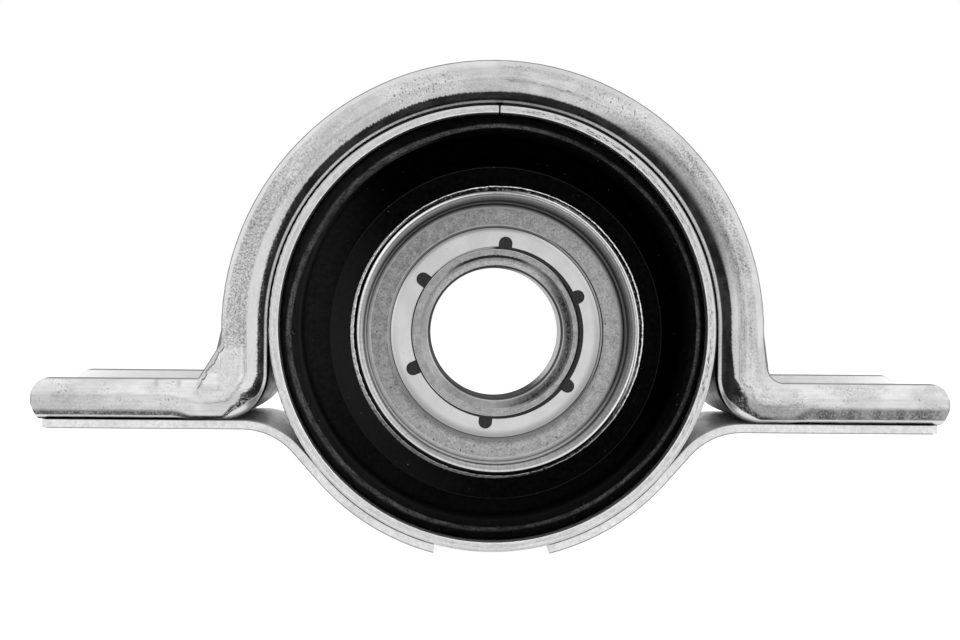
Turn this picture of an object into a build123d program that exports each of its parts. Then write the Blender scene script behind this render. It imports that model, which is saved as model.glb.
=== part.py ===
from build123d import *
import math
import os

# Driving dimensions, in millimetres.
# X runs along the feet, Y along the shaft towards the rear, Z is up.
# The origin is the middle of the bearing's bore.

# Ball bearing
bore_dia = 30.0
inner_race_wall = 4.05
land_gap = 4.95
outer_race_wall = 5.4
bearing_width = 16.0
ball_dia = 7.938
ball_count = 10
ball_play = 0.06
groove_conformity = 0.52
bore_chamfer_wide = 2.2
bore_chamfer_deep = 1.5
race_corner = 1.0
land_edge = 0.3

# Bearing seals, one at each end
seal_recess = 0.5
seal_plate_thick = 0.6
seal_plate_hole_gap = 0.62
seal_plate_shift = 0.42
seal_plate_rim_gap = 0.15
seal_rim_fold = 0.7
seal_rim_wide = 0.6
seal_rubber_thick = 0.7
seal_groove_deep = 1.0
seal_groove_tail = 0.4
seal_lip_gap = 0.1
seal_lip_sunk = 0.15
seal_notch_count = 6
seal_notch_radius = 1.55
seal_notch_past_hole = 0.8
seal_notch_first_angle = 24.0
bond_gap = 0.03

# Ribbon cage
cage_sheet = 0.8
cage_land_gap = 0.925
cage_pocket_play = 0.15
cage_split_gap = 0.04
rivet_dia = 1.4
rivet_head_dia = 2.4
rivet_head_tall = 0.6
rivet_head_crown_dia = 1.7
rivet_head_rim_tall = 0.24
rivet_gap = 0.02

# Bearing sleeve
press_gap = 0.02
sleeve_wall = 2.5
sleeve_front_reach = 4.5
sleeve_mouth_radius = 1.6
sleeve_lip_chamfer = 0.4
sleeve_lip_chamfer_deep = 0.9
sleeve_stop_thick = 2.0
sleeve_stop_step = 2.6
sleeve_rear_radius = 1.0

# Liner bonded inside the rubber
liner_wall = 0.8
liner_setback = 0.8

# Outer ring, its axis set off from the bore as the rubber lets the core hang
ring_wall = 2.1
ring_wide = 40.0
ring_axis_left = 0.8
ring_axis_up = 1.3
ring_joint_gap = 0.35
ring_joint_right = 0.9
ring_joint_corner = 0.8
ring_edge = 0.25

# Rubber cushion
collar_wall = 4.7
collar_front_setback = 0.3
collar_corner = 0.5
collar_rear_setback = 0.6
cushion_sleeve_wall = 3.6
cushion_edge_setback = 2.6
crest_radius = 1.7
valley_wide = 6.1
web_front = 1.5
web_thick = 4.6
web_fillet = 1.9

# Strap over the ring
sheet = 2.0
seat_gap = 0.05
bend_inside = 0.7
strap_foot_drop = 20.8
strap_foot_bend = 10.5
strap_end_past_bolt = 19.0
strap_flange_tall_top = 9.35
strap_flange_tall_side = 10.25
strap_flange_tall_foot = 9.2
strap_flange_flare = 1.0
strap_flange_corner_right = 3.6
strap_flange_corner_left_wide = 3.9
strap_flange_corner_left_tall = 6.3
strap_flange_end_corner = 4.2
strap_end_taper_wide = 1.3
strap_end_taper_tall = 3.4

# Lower brackets
lower_sheet = 2.0
lower_side_setback = 1.0
lower_end_setback = 1.9
lower_bend = 15.0
lower_meets_ring_angle = 41.5
lower_end_from_middle = 12.8
lower_end_corner = 1.5

# Fixing bolts and spot welds
bolt_hole_dia = 11.0
bolt_spacing = 164.0
weld_dent_dia = 6.0
weld_dent_deep = 0.3
weld_dent_apart = 22.0
weld_foot_inboard = 16.5
weld_wrap_angle = 56.0

# How far a cutter runs past the piece it cuts, and how near a corner lies to where it is looked for
cut_past = 1.0
match = 0.01

# Sizes that follow from the driving dimensions
half_bearing = bearing_width / 2
bore_r = bore_dia / 2
inner_land_r = bore_r + inner_race_wall
outer_land_r = inner_land_r + land_gap
race_outer_r = outer_land_r + outer_race_wall
pitch_r = (inner_land_r + outer_land_r) / 2
ball_r = ball_dia / 2
groove_r = groove_conformity * ball_dia
ball_step = 360 / ball_count
notch_step = 360 / seal_notch_count
plate_hole_r = inner_land_r + seal_plate_hole_gap
plate_rim_r = outer_land_r - seal_plate_rim_gap
sleeve_in_r = race_outer_r + press_gap
sleeve_out_r = sleeve_in_r + sleeve_wall
sleeve_front = -half_bearing - sleeve_front_reach
sleeve_rear = half_bearing + sleeve_stop_thick
liner_in_r = sleeve_out_r + press_gap
liner_out_r = liner_in_r + liner_wall
liner_front = sleeve_front + liner_setback
liner_rear = sleeve_rear - sleeve_rear_radius
collar_in_r = liner_out_r + bond_gap
collar_out_r = collar_in_r + collar_wall
cushion_in_r = collar_out_r + valley_wide
cushion_out_r = cushion_in_r + cushion_sleeve_wall
ring_in_r = cushion_out_r + bond_gap
ring_out_r = ring_in_r + ring_wall
strap_in_r = ring_out_r + seat_gap
strap_half_length = bolt_spacing / 2 + strap_end_past_bolt
lower_half_length = strap_half_length - lower_end_setback
bend_outside = bend_inside + sheet
bolt_hole_r = bolt_hole_dia / 2
ring_place = Pos(-ring_axis_left, 0, ring_axis_up)
along_shaft = Rot(90, 0, 0)


def turned(face):
    """A solid turned about the shaft axis from a face drawn with X as radius and Y along the shaft."""
    return revolve(face, axis=Axis.Y)


def outline(*edges):
    """A face from edges that follow each other."""
    return make_face(Wire(edges))


def section(*points):
    """A face with straight sides through points given as radius and place along the shaft."""
    return make_face(Polyline(*points, close=True))


def band(inner, outer, front, rear):
    """The section of a plain ring between two radii and two places along the shaft."""
    return section((inner, front), (outer, front), (outer, rear), (inner, rear))


def corners_at(face, radius, *places):
    """The corners of a section at a radius and one or more places along the shaft."""
    def is_named(corner):
        return abs(corner.X - radius) < match and any(abs(corner.Y - place) < match for place in places)
    return [corner for corner in face.vertices() if is_named(corner)]


def slab(face, start, end):
    """A flat plate from an outline drawn in X and Z, between two places along the shaft."""
    moved = Pos(0, start, 0) * face
    return extrude(moved, amount=end - start, dir=(0, 1, 0))


def about_shaft(shape, angle):
    """The shape turned about the shaft axis by an angle counted anticlockwise from +X in front view."""
    return Rot(0, -angle, 0) * shape


def flat_point(x, z):
    """A point of an outline drawn in the X and Z plane."""
    return (x, 0, z)


def corner_arc(centre_x, centre_z, radius, from_angle, to_angle):
    """An arc of an outline in the X and Z plane, with angles counted from +X towards +Z."""
    def at(angle):
        x = centre_x + radius * math.cos(math.radians(angle))
        z = centre_z + radius * math.sin(math.radians(angle))
        return flat_point(x, z)
    middle = (from_angle + to_angle) / 2
    return ThreePointArc(at(from_angle), at(middle), at(to_angle))


# Inner race
def make_inner_race():
    groove_centre = pitch_r - ball_r - ball_play + groove_r
    flat_end = half_bearing - bore_chamfer_deep
    bore_mouth_r = bore_r + bore_chamfer_wide
    body = section(
        (bore_r, -flat_end),
        (bore_mouth_r, -half_bearing),
        (inner_land_r - land_edge, -half_bearing),
        (inner_land_r, -half_bearing + land_edge),
        (inner_land_r, half_bearing - land_edge),
        (inner_land_r - land_edge, half_bearing),
        (bore_mouth_r, half_bearing),
        (bore_r, flat_end),
    )
    return turned(body - Pos(groove_centre, 0) * Circle(groove_r))


# Outer race, with a groove near each end for the seal
def make_outer_race():
    groove_centre = pitch_r + ball_r + ball_play - groove_r
    body = band(outer_land_r, race_outer_r, -half_bearing, half_bearing)
    body = fillet(corners_at(body, race_outer_r, -half_bearing, half_bearing), race_corner)
    body = chamfer(corners_at(body, outer_land_r, -half_bearing, half_bearing), land_edge)
    body = body - Pos(groove_centre, 0) * Circle(groove_r)
    for side in (-1, 1):
        outer, back = seal_levels(side)
        groove_near = back + side * seal_groove_tail
        groove_far = back - side * (seal_rim_fold + seal_groove_tail)
        groove_in = outer_land_r - cut_past
        body = body - band(groove_in, outer_land_r + seal_groove_deep, groove_near, groove_far)
    return turned(body)


# Seal at one end, side -1 in front and 1 at the rear
def seal_levels(side):
    """The outer and inner faces of the seal plate along the shaft."""
    outer = side * (half_bearing - seal_recess)
    back = outer - side * seal_plate_thick
    return outer, back


def notches(radius, tall):
    """Round-ended slots round the plate's hole, each open towards the shaft."""
    round_end = along_shaft * Cylinder(radius, tall)
    way_in = Box(2 * radius, tall, 2 * radius, align=(Align.MAX, Align.CENTER, Align.CENTER))
    slot = Pos(plate_hole_r + seal_notch_past_hole, 0, 0) * (round_end + way_in)
    return [
        about_shaft(slot, seal_notch_first_angle + number * notch_step)
        for number in range(seal_notch_count)
    ]


def make_seal_plate(side):
    outer, back = seal_levels(side)
    fold = back - side * seal_rim_fold
    hole_edge = plate_hole_r - seal_plate_shift - cut_past
    plate = turned(
        section(
            (hole_edge, outer),
            (plate_rim_r, outer),
            (plate_rim_r, fold),
            (plate_rim_r - seal_rim_wide, fold),
            (plate_rim_r - seal_rim_wide, back),
            (hole_edge, back),
        )
    )
    reach = seal_plate_thick + 2 * cut_past
    middle = (outer + back) / 2
    plate = plate - Pos(seal_plate_shift, middle, 0) * along_shaft * Cylinder(plate_hole_r, reach)
    for notch in notches(seal_notch_radius, reach):
        plate = plate - Pos(0, middle, 0) * notch
    return plate


# Rubber of the seal, with the lip beside the inner race, a pad in each notch and the outer bead
def make_seal_lip(side):
    outer, back = seal_levels(side)
    lip_r = inner_land_r + seal_lip_gap
    under = back - side * bond_gap
    deep = under - side * seal_rubber_thick
    bead_top = back + side * seal_groove_tail / 2
    bead_deep = back - side * (seal_rim_fold + seal_groove_tail / 2)
    bead_r = outer_land_r + seal_groove_deep - bond_gap
    rim_r = plate_rim_r + bond_gap
    fold_in_r = plate_rim_r - seal_rim_wide - bond_gap
    under_fold = back - side * (seal_rim_fold + bond_gap)
    rubber = turned(
        section(
            (lip_r, under),
            (fold_in_r, under),
            (fold_in_r, under_fold),
            (rim_r, under_fold),
            (rim_r, bead_top),
            (bead_r, bead_top),
            (bead_r, bead_deep),
            (fold_in_r - seal_rim_wide, bead_deep),
            (fold_in_r - seal_rim_wide, deep),
            (lip_r, deep),
        )
    )
    pad_face = outer - side * seal_lip_sunk
    pad_tall = abs(pad_face - under)
    middle = (pad_face + under) / 2
    pads = Pos(seal_plate_shift, 0, 0) * along_shaft * Cylinder(plate_hole_r - bond_gap, pad_tall)
    for notch in notches(seal_notch_radius - bond_gap, pad_tall):
        pads = pads + notch
    pads = pads - along_shaft * Cylinder(lip_r, pad_tall)
    return rubber + Pos(0, middle, 0) * pads


# Balls
def at_ball(number, shape):
    """The shape at a ball's place, its own X turned to point away from the shaft axis."""
    return about_shaft(Pos(pitch_r, 0, 0) * shape, (number + 0.5) * ball_step)


def make_ball(number):
    return at_ball(number, Sphere(ball_r))


# Ribbon cage half, side -1 in front and 1 at the rear
def at_rivet(number, shape):
    """The shape at a rivet's place, halfway between two balls."""
    return about_shaft(Pos(pitch_r, 0, 0) * shape, number * ball_step)


def make_cage_half(side):
    pocket_r = ball_r + cage_pocket_play
    shell_r = pocket_r + cage_sheet
    band_in = inner_land_r + cage_land_gap
    band_out = outer_land_r - cage_land_gap
    near = side * cage_split_gap / 2
    ribbon = turned(band(band_in, band_out, near, near + side * cage_sheet))
    room = turned(band(band_in, band_out, near, near + side * 2 * shell_r))
    seam_behind = Rot(-side * 90, 0, 0) * Rot(0, 90, 0)
    rivet_hole = along_shaft * Cylinder(rivet_dia / 2 + rivet_gap, 2 * (cage_sheet + cut_past))
    half = ribbon
    for number in range(ball_count):
        half = half + (room & at_ball(number, seam_behind * Sphere(shell_r)))
    for number in range(ball_count):
        half = half - at_ball(number, seam_behind * Sphere(pocket_r))
        half = half - at_rivet(number, rivet_hole)
    return half


def make_cage_rivets():
    head_under = cage_sheet + cage_split_gap / 2 + rivet_gap
    head_rim = head_under + rivet_head_rim_tall
    head_top = head_under + rivet_head_tall
    rivet = turned(
        section(
            (0, -head_top),
            (rivet_head_crown_dia / 2, -head_top),
            (rivet_head_dia / 2, -head_rim),
            (rivet_head_dia / 2, -head_under),
            (rivet_dia / 2, -head_under),
            (rivet_dia / 2, head_under),
            (rivet_head_dia / 2, head_under),
            (rivet_head_dia / 2, head_rim),
            (rivet_head_crown_dia / 2, head_top),
            (0, head_top),
        )
    )
    return Compound([at_rivet(number, rivet) for number in range(ball_count)])


# Bearing sleeve, with a rounded mouth in front and an inward stop behind the outer race
def make_bearing_sleeve():
    stop_r = sleeve_in_r - sleeve_stop_step
    body = section(
        (sleeve_in_r, sleeve_front),
        (sleeve_out_r - sleeve_lip_chamfer, sleeve_front),
        (sleeve_out_r, sleeve_front + sleeve_lip_chamfer_deep),
        (sleeve_out_r, sleeve_rear),
        (stop_r, sleeve_rear),
        (stop_r, half_bearing),
        (sleeve_in_r, half_bearing),
    )
    body = fillet(corners_at(body, sleeve_in_r, sleeve_front), sleeve_mouth_radius)
    body = fillet(corners_at(body, sleeve_out_r, sleeve_rear), sleeve_rear_radius)
    return turned(body)


def make_cushion_liner():
    return turned(band(liner_in_r, liner_out_r, liner_front, liner_rear))


# Rubber cushion: a collar on the core, a sleeve in the ring and a web between them
def make_rubber_cushion():
    web_rear = web_front + web_thick
    collar_front = liner_front - collar_front_setback
    collar_rear = liner_rear + collar_rear_setback
    sleeve_end = ring_wide / 2 - cushion_edge_setback
    web_middle = (collar_out_r + cushion_in_r) / 2
    web_corner = min(web_fillet, valley_wide / 3)
    collar_middle = (collar_in_r + collar_out_r) / 2

    collar = band(collar_in_r, collar_out_r, collar_front, collar_rear)
    collar = fillet(corners_at(collar, collar_out_r, collar_front, collar_rear), collar_corner)
    collar = collar + band(collar_in_r, web_middle, web_front, web_rear)
    collar = fillet(corners_at(collar, collar_out_r, web_front, web_rear), web_corner)

    outer = band(cushion_in_r, cushion_out_r, -sleeve_end, sleeve_end)
    outer = fillet(outer.vertices(), crest_radius)
    outer = outer + band(collar_middle, cushion_out_r, web_front, web_rear)
    outer = fillet(corners_at(outer, cushion_in_r, web_front, web_rear), web_corner)

    core_room = along_shaft * Cylinder(collar_in_r, ring_wide)
    return ring_place * turned(outer) - core_room + turned(collar)


# Split ring, its butt joint at the top
def make_outer_ring():
    half = ring_wide / 2
    ring = turned(fillet(band(ring_in_r, ring_out_r, -half, half).vertices(), ring_edge))
    cut_long = ring_wide + 2 * cut_past
    slit_tall = ring_wall + 2 * cut_past
    slit = Pos(ring_joint_right, 0, (ring_in_r + ring_out_r) / 2) * Box(ring_joint_gap, cut_long, slit_tall)
    mouth_wide = ring_joint_gap + ring_joint_corner
    mouth = Pos(ring_joint_right, 0, ring_out_r) * Rot(0, 45, 0) * Box(mouth_wide, cut_long, mouth_wide)
    return ring_place * (ring - slit - mouth)


# Strap over the ring: a web, a flange at each edge and two feet
def web_path(above):
    """The right half of the web in front view, at a height above its underside."""
    radius = strap_in_r + above
    bend = strap_foot_bend - above
    bend_x = strap_in_r + strap_foot_bend
    bend_z = strap_foot_bend - strap_foot_drop
    foot_z = above - strap_foot_drop
    return [
        corner_arc(0, 0, radius, 90, 0),
        Line(flat_point(radius, 0), flat_point(radius, bend_z)),
        corner_arc(bend_x, bend_z, bend, 180, 270),
        Line(flat_point(bend_x, foot_z), flat_point(strap_half_length, foot_z)),
    ]


def web_face():
    under = web_path(0)
    over = web_path(sheet)
    return outline(*under, Line(under[-1] @ 1, over[-1] @ 1), *over, Line(over[0] @ 0, under[0] @ 0))


def foot_corner(side, corner_x, foot_top):
    """The corner between a flange's side and its foot: round on the right, cut straight on the left."""
    if side > 0:
        round_r = strap_flange_corner_right
        return corner_arc(corner_x + round_r, foot_top + round_r, round_r, 270, 180)
    low = flat_point(corner_x + strap_flange_corner_left_wide, foot_top)
    high = flat_point(corner_x, foot_top + strap_flange_corner_left_tall)
    return Line(low, high)


def flange_face(side):
    """Half of a flange as it stands on the right, from the web's underside to the free edge."""
    under = web_path(0)
    top = strap_in_r + strap_flange_tall_top
    side_x = strap_in_r + strap_flange_tall_side
    arch_z = top - side_x
    foot_top = strap_flange_tall_foot - strap_foot_drop
    corner = foot_corner(side, side_x + strap_flange_flare, foot_top)
    end = strap_flange_end_corner
    end_x = strap_half_length
    return outline(
        *under,
        Line(under[-1] @ 1, flat_point(end_x, foot_top - end)),
        corner_arc(end_x - end, foot_top - end, end, 0, 90),
        Line(flat_point(end_x - end, foot_top), corner @ 0),
        corner,
        Line(corner @ 1, flat_point(side_x, arch_z)),
        corner_arc(0, arch_z, side_x, 0, 90),
        Line(flat_point(0, top), under[0] @ 0),
    )


def edges_along(solid, path, place):
    """The solid's edges that lie on a half path or its mirror image, at one place along the shaft."""
    right = Wire(path).moved(Location((0, place, 0)))
    left = right.mirror(Plane.YZ)

    def on_path(edge):
        off_path = min(right.distance_to(edge @ 0.5), left.distance_to(edge @ 0.5))
        off_place = max(abs((edge @ 0).Y - place), abs((edge @ 1).Y - place))
        return max(off_path, off_place) < match

    return [edge for edge in solid.edges() if on_path(edge)]


def strap_half(side):
    """The web and both flanges of one half, side -1 on the left and 1 on the right."""
    half = ring_wide / 2
    piece = slab(web_face(), -half, half)
    piece = piece + slab(flange_face(side), -half, -half + sheet)
    piece = piece + slab(flange_face(side), half - sheet, half)
    if side < 0:
        piece = mirror(piece, about=Plane.YZ)
    return piece


def foot_cutters():
    """The bolt hole of the right foot, and the wedge that tapers its end towards the underside."""
    foot_z = -strap_foot_drop
    bolt_hole = Pos(bolt_spacing / 2, 0, foot_z) * Cylinder(bolt_hole_r, 2 * (sheet + cut_past))
    past_x = strap_half_length + strap_end_taper_wide
    past_z = foot_z - strap_end_taper_tall
    wedge = make_face(
        Polyline(
            flat_point(strap_half_length, foot_z + strap_end_taper_tall),
            flat_point(strap_half_length - 2 * strap_end_taper_wide, past_z),
            flat_point(past_x, past_z),
            flat_point(past_x, foot_z + strap_end_taper_tall),
            close=True,
        )
    )
    reach = ring_wide / 2 + cut_past
    return bolt_hole, slab(wedge, -reach, reach)


def make_bracket_strap():
    half = ring_wide / 2
    strap = strap_half(-1) + strap_half(1)
    for side in (-1, 1):
        strap = fillet(edges_along(strap, web_path(0), side * half), bend_outside)
        strap = fillet(edges_along(strap, web_path(sheet), side * (half - sheet)), bend_inside)
    for cutter in foot_cutters():
        strap = strap - cutter - mirror(cutter, about=Plane.YZ)
    return ring_place * strap


# Lower bracket: a foot plate, a straight arm slanting down to the ring and a stretch that wraps it
def lower_outline():
    in_r = strap_in_r
    out_r = in_r + lower_sheet
    top = -strap_foot_drop
    bottom = top - lower_sheet
    wrap = math.radians(lower_meets_ring_angle)
    arm_angle = 180 - lower_meets_ring_angle
    centre_z = bottom - lower_bend
    bend_x = (out_r + lower_bend + centre_z * math.sin(wrap)) / math.cos(wrap)
    over_bend = corner_arc(bend_x, centre_z, lower_bend + lower_sheet, 90, arm_angle)
    under_bend = corner_arc(bend_x, centre_z, lower_bend, arm_angle, 90)
    end_in = math.degrees(math.acos(lower_end_from_middle / in_r))
    end_out = math.degrees(math.acos(lower_end_from_middle / out_r))
    end_in_z = -in_r * math.sin(math.radians(end_in))
    end_out_z = -out_r * math.sin(math.radians(end_out))
    on_ring = corner_arc(0, 0, in_r, -lower_meets_ring_angle, -end_in)
    away_from_ring = corner_arc(0, 0, out_r, -end_out, -lower_meets_ring_angle)
    return outline(
        Line(flat_point(lower_half_length, top), flat_point(bend_x, top)),
        over_bend,
        Line(over_bend @ 1, on_ring @ 0),
        on_ring,
        Line(flat_point(lower_end_from_middle, end_in_z), flat_point(lower_end_from_middle, end_out_z)),
        away_from_ring,
        Line(away_from_ring @ 1, under_bend @ 0),
        under_bend,
        Line(flat_point(bend_x, bottom), flat_point(lower_half_length, bottom)),
        Line(flat_point(lower_half_length, bottom), flat_point(lower_half_length, top)),
    )


def weld_dents():
    """Shallow round dents that spot welding leaves under the foot and on the wrapped arm."""
    dent_r = ((weld_dent_dia / 2) ** 2 + weld_dent_deep ** 2) / (2 * weld_dent_deep)
    stand_off = lower_sheet + dent_r - weld_dent_deep
    foot_x = bolt_spacing / 2 - weld_foot_inboard
    dents = []
    for place in (-weld_dent_apart / 2, weld_dent_apart / 2):
        dents.append(Pos(foot_x, place, -strap_foot_drop - stand_off) * Sphere(dent_r))
        on_arm = Pos(strap_in_r + stand_off, place, 0) * Sphere(dent_r)
        dents.append(about_shaft(on_arm, -weld_wrap_angle))
    return dents


def make_lower_bracket(side):
    half = ring_wide / 2 - lower_side_setback
    bracket = slab(lower_outline(), -half, half)
    end_edges = bracket.edges().filter_by(Axis.Z).sort_by(Axis.X)[-2:]
    bracket = chamfer(end_edges, lower_end_corner)
    hole_tall = 2 * (lower_sheet + cut_past)
    bracket = bracket - Pos(bolt_spacing / 2, 0, -strap_foot_drop) * Cylinder(bolt_hole_r, hole_tall)
    for dent in weld_dents():
        bracket = bracket - dent
    if side < 0:
        bracket = mirror(bracket, about=Plane.YZ)
    return ring_place * bracket


def save(name, shape):
    export_step(shape, os.path.join("parts", name + ".step"))


os.makedirs("parts", exist_ok=True)
save("inner_race", make_inner_race())
save("outer_race", make_outer_race())
for side, where in ((-1, "front"), (1, "rear")):
    save("seal_plate_" + where, make_seal_plate(side))
    save("seal_lip_" + where, make_seal_lip(side))
    save("cage_" + where, make_cage_half(side))
save("cage_rivets", make_cage_rivets())
for number in range(ball_count):
    save(f"ball_{number + 1:02d}", make_ball(number))
save("bearing_sleeve", make_bearing_sleeve())
save("cushion_liner", make_cushion_liner())
save("rubber_cushion", make_rubber_cushion())
save("outer_ring", make_outer_ring())
save("bracket_strap", make_bracket_strap())
save("lower_bracket_left", make_lower_bracket(-1))
save("lower_bracket_right", make_lower_bracket(1))
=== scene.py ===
import math

import bmesh
import bpy
from mathutils import Matrix, Vector, noise


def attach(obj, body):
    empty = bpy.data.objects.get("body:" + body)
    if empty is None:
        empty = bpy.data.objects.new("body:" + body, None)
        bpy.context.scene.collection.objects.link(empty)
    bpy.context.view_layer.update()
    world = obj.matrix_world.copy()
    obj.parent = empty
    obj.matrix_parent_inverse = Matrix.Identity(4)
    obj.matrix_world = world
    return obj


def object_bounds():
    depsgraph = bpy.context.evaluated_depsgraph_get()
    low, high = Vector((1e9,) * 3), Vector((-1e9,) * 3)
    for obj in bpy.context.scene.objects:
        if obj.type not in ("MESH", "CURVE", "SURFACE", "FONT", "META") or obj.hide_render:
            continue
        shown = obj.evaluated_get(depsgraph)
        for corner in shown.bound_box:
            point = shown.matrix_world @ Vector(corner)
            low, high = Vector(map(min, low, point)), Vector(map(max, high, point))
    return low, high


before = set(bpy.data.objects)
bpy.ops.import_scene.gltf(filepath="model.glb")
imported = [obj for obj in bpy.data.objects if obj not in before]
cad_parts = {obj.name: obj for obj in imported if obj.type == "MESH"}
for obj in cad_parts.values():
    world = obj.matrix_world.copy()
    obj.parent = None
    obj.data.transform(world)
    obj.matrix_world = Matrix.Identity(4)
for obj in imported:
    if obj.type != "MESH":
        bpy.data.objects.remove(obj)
cad_box = [list(corner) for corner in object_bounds()]

# Places and sizes in the row frame, in millimetres unless a name says otherwise.
# Heights of the ring, the strap and the lower brackets count from the ring's axis.
MM = 0.001
SHAFT = (0.0, 0.0)

# Ring, and the butt joint near its top
RING_X = -0.8
RING_Z = 1.3
RING_AXIS = (RING_X, RING_Z)
RING_IN = 47.2
RING_OUT = 49.3
RING_HALF_WIDE = 20.0
RING_JOINT_X = 0.1
RING_JOINT_HALF = 0.19
RING_JOINT_MOUTH = 0.81

# Strap, with the cut left corner and the round right corner between its legs and feet
STRAP_IN = 49.35
STRAP_FOOT_DROP = 20.8
STRAP_FOOT_BEND = 10.5
STRAP_END = 101.0
STRAP_BEND_OUTSIDE = 2.7
FLANGE_TOP = 58.7
FLANGE_SIDE = 59.6
FLANGE_FLARE = 1.0
FLANGE_FOOT_TOP = -11.6
LEFT_CORNER_WIDE = 3.9
LEFT_CORNER_TALL = 6.3
RIGHT_CORNER = 3.6
SMUDGES_X = (73.9, 69.0, 64.0)
FAR_INSIDE = -100.0

# Lower brackets
LOWER_SHEET = 2.0
LOWER_BEND = 15.0
LOWER_ON_RING = math.radians(41.5)
LOWER_HALF_WIDE = 19.0
LOWER_FOOT_X = 62.0
LOWER_WRAP_TOP = -32.0

# Bearing, by radius from the bore outwards
BORE_R = 15.0
BORE_MOUTH_R = 17.2
INNER_LAND_R = 19.05
PLATE_RIM_R = 23.85
OUTER_LAND_R = 24.0
RACE_OUT_R = 29.4
RACE_HALF_WIDE = 8.0

# Sleeve, whose painted highlight on the lip is shifted to the upper right
SLEEVE_IN_R = 29.42
SLEEVE_LIP_R = 31.54
SLEEVE_LIP_SHIFT = 0.4
SLEEVE_FRONT = -12.5

# Liner, its torn border and the flap that curls up from it
LINER_IN_R = 31.96
LINER_FRONT = -11.7
TORN_R = 32.57
TORN_TO_RIGHT = 0.48
TORN_TO_TOP = 0.38
TORN_WIDE = 0.42
TORN_LEAST = 0.14
TORN_STEPS = 900
FLAP_ANGLE = math.radians(210.5)
FLAP_CURL = math.pi * 1.15
FLAP_CURL_R = 0.31
FLAP_SWAY = 0.018
FLAP_ROOT_HALF = 0.22
FLAP_NARROWS = 0.12
FLAP_THICK = 0.06
FLAP_LOOPS = 12

# Rubber cushion
COLLAR_OUT_R = 37.47
COLLAR_FRONT = -12.0
CUSHION_IN_R = 43.57

# Tone of a gap that next to no light gets into
GAP_TONE = 0.006

# Studio: strength of the world's light, tones of the floor, and the lamps
WORLD_LIGHT = 0.6
FLOOR_HALF_METRES = 3.0
FLOOR_TONE = 0.8
FLOOR_SHADOW_SHARE = 0.45
FLOOR_GLOW = 0.82
LAMPS = (
    # name, place in metres, width and height in metres, watts
    ("left_box", (-0.75, -0.45, 0.35), 0.6, 0.6, 1.5),
    ("right_box", (0.75, -0.4, 0.3), 0.6, 0.6, 2.0),
    ("top_box", (0.0, -0.1, 0.8), 0.8, 0.5, 3.0),
)

# The photograph's frame and the camera that gives it.
IMAGE_WIDE = 960
FOCAL_PIXELS = 1469
SENSOR_MM = 36.0
CLIP_START_METRES = 0.01
CAMERA_SPOT = Vector((-10.46, -342.1, 7.76)) * MM
CAMERA_AIM = Vector((-3.4, 0.0, 2.75)) * MM
CAMERA_ROLL = math.radians(0.53)


# Camera
def make_camera():
    data = bpy.data.cameras.new("camera")
    data.sensor_width = SENSOR_MM
    data.lens = FOCAL_PIXELS / IMAGE_WIDE * SENSOR_MM
    data.clip_start = CLIP_START_METRES
    camera = bpy.data.objects.new("camera", data)
    bpy.context.scene.collection.objects.link(camera)
    forward = (CAMERA_AIM - CAMERA_SPOT).normalized()
    level_right = forward.cross(Vector((0, 0, 1))).normalized()
    level_up = level_right.cross(forward)
    right = level_right * math.cos(CAMERA_ROLL) + level_up * math.sin(CAMERA_ROLL)
    up = right.cross(forward)
    turn = Matrix((right, up, -forward)).transposed()
    camera.matrix_world = Matrix.Translation(CAMERA_SPOT) @ turn.to_4x4()
    bpy.context.scene.camera = camera


# Floor, world and lamps
def white_where_seen(tree, shown, lit, output_socket):
    """Shows one shader to the camera, gloss and glass, and lights the object with the other."""
    path = tree.nodes.new("ShaderNodeLightPath")
    seen = path.outputs["Is Camera Ray"]
    for ray in ("Is Glossy Ray", "Is Transmission Ray"):
        either = tree.nodes.new("ShaderNodeMath")
        either.operation = "MAXIMUM"
        tree.links.new(seen, either.inputs[0])
        tree.links.new(path.outputs[ray], either.inputs[1])
        seen = either.outputs[0]
    mix = tree.nodes.new("ShaderNodeMixShader")
    tree.links.new(seen, mix.inputs[0])
    tree.links.new(lit, mix.inputs[1])
    tree.links.new(shown, mix.inputs[2])
    tree.links.new(mix.outputs[0], output_socket)


def grey_shader(tree, kind, tone, strength=None):
    """A shader node of one grey tone."""
    node = tree.nodes.new(kind)
    node.inputs["Color"].default_value = (tone, tone, tone, 1)
    if strength is not None:
        node.inputs["Strength"].default_value = strength
    return node


def make_world():
    world = bpy.data.worlds.new("studio")
    world.use_nodes = True
    tree = world.node_tree
    tree.nodes.clear()
    output = tree.nodes.new("ShaderNodeOutputWorld")
    shown = grey_shader(tree, "ShaderNodeBackground", 1.0, 1.0)
    lit = grey_shader(tree, "ShaderNodeBackground", 1.0, WORLD_LIGHT)
    white_where_seen(tree, shown.outputs[0], lit.outputs[0], output.inputs["Surface"])
    bpy.context.scene.world = world


def make_floor(level):
    half = FLOOR_HALF_METRES
    mesh = bpy.data.meshes.new("floor")
    corners = [(-half, -half, level), (half, -half, level), (half, half, level), (-half, half, level)]
    mesh.from_pydata(corners, [], [(0, 1, 2, 3)])
    floor = bpy.data.objects.new("floor", mesh)
    bpy.context.scene.collection.objects.link(floor)
    material = bpy.data.materials.new("floor_paper")
    material.use_nodes = True
    tree = material.node_tree
    tree.nodes.clear()
    output = tree.nodes.new("ShaderNodeOutputMaterial")
    paper = grey_shader(tree, "ShaderNodeBsdfDiffuse", FLOOR_TONE)
    faint = grey_shader(tree, "ShaderNodeBsdfDiffuse", FLOOR_SHADOW_SHARE)
    glow = grey_shader(tree, "ShaderNodeEmission", 1.0, FLOOR_GLOW)
    both = tree.nodes.new("ShaderNodeAddShader")
    tree.links.new(faint.outputs[0], both.inputs[0])
    tree.links.new(glow.outputs[0], both.inputs[1])
    white_where_seen(tree, both.outputs[0], paper.outputs[0], output.inputs["Surface"])
    mesh.materials.append(material)


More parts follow.
